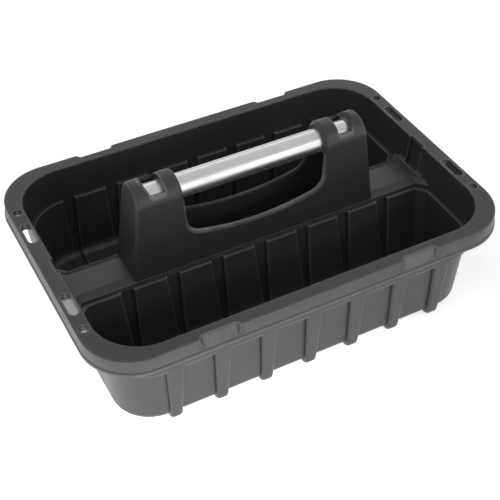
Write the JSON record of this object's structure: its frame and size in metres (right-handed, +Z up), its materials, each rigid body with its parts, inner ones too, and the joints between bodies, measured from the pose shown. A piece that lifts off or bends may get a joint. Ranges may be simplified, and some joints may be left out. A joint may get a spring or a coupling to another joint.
{
  "type": "tool storage caddy",
  "caption": "Open two-compartment tool tray with a wide rim, a hollow centre divider rising into posts, and a round metal tube handle.",
  "frame": {"origin": "middle of the footprint, on the plane that the feet stand on", "axes": "+X along the caddy and its handle, +Y to the rear, +Z up"},
  "size_m": [0.4838, 0.3324, 0.1998],
  "materials": {
    "tray_plastic": "dark grey polypropylene with a fine moulded texture",
    "handle_aluminium": "brushed along its length"
  },
  "bodies": {
    "tray": {"tray": "tray_plastic"},
    "handle": {"handle_tube": "handle_aluminium"}
  },
  "joints": [
    {"name": "handle_spin", "type": "hinge", "parent": "tray", "child": "handle", "pos_m": [0, 0, 0.179], "axis": [1, 0, 0], "continuous": true}
  ]
}
